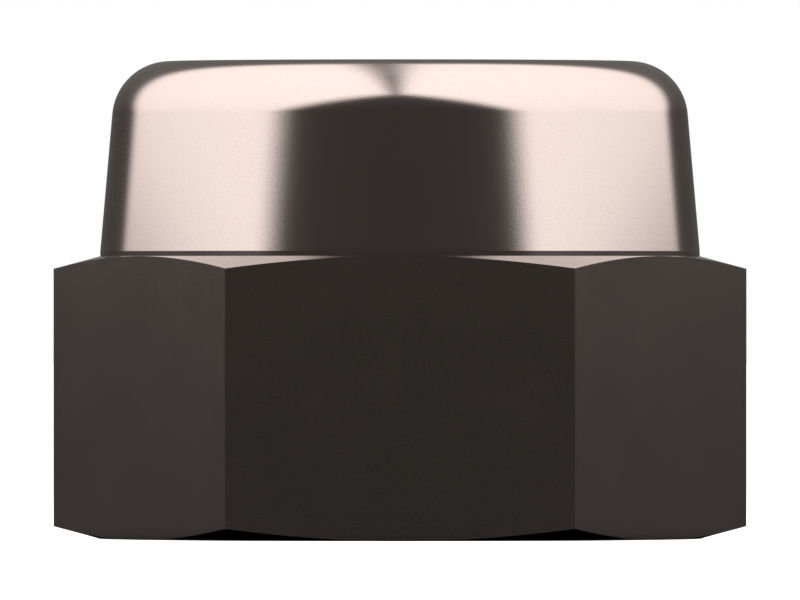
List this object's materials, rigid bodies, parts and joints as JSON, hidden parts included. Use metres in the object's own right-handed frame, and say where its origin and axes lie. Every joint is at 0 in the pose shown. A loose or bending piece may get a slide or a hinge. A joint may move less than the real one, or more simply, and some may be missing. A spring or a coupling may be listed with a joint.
{
  "type": "hex lock nut",
  "caption": "Hexagon lock nut with a tall round collar whose rolled rim holds a nylon ring, so a bolt stays gripped under vibration.",
  "frame": {"origin": "centre of the flat bearing face", "axes": "+Z along the thread, from the bearing face to the rolled rim; +X towards a corner of the hexagon; the flats that face +Y and -Y are parallel to X"},
  "size_m": [0.0278, 0.024, 0.0191],
  "materials": {
    "dark_steel": "cold-formed and turned steel with a dark brown-black oxide finish, semi-bright",
    "natural_nylon": "natural milky nylon, satin"
  },
  "bodies": {
    "root": {"nut_body": "dark_steel", "nylon_insert": "natural_nylon"}
  },
  "joints": []
}
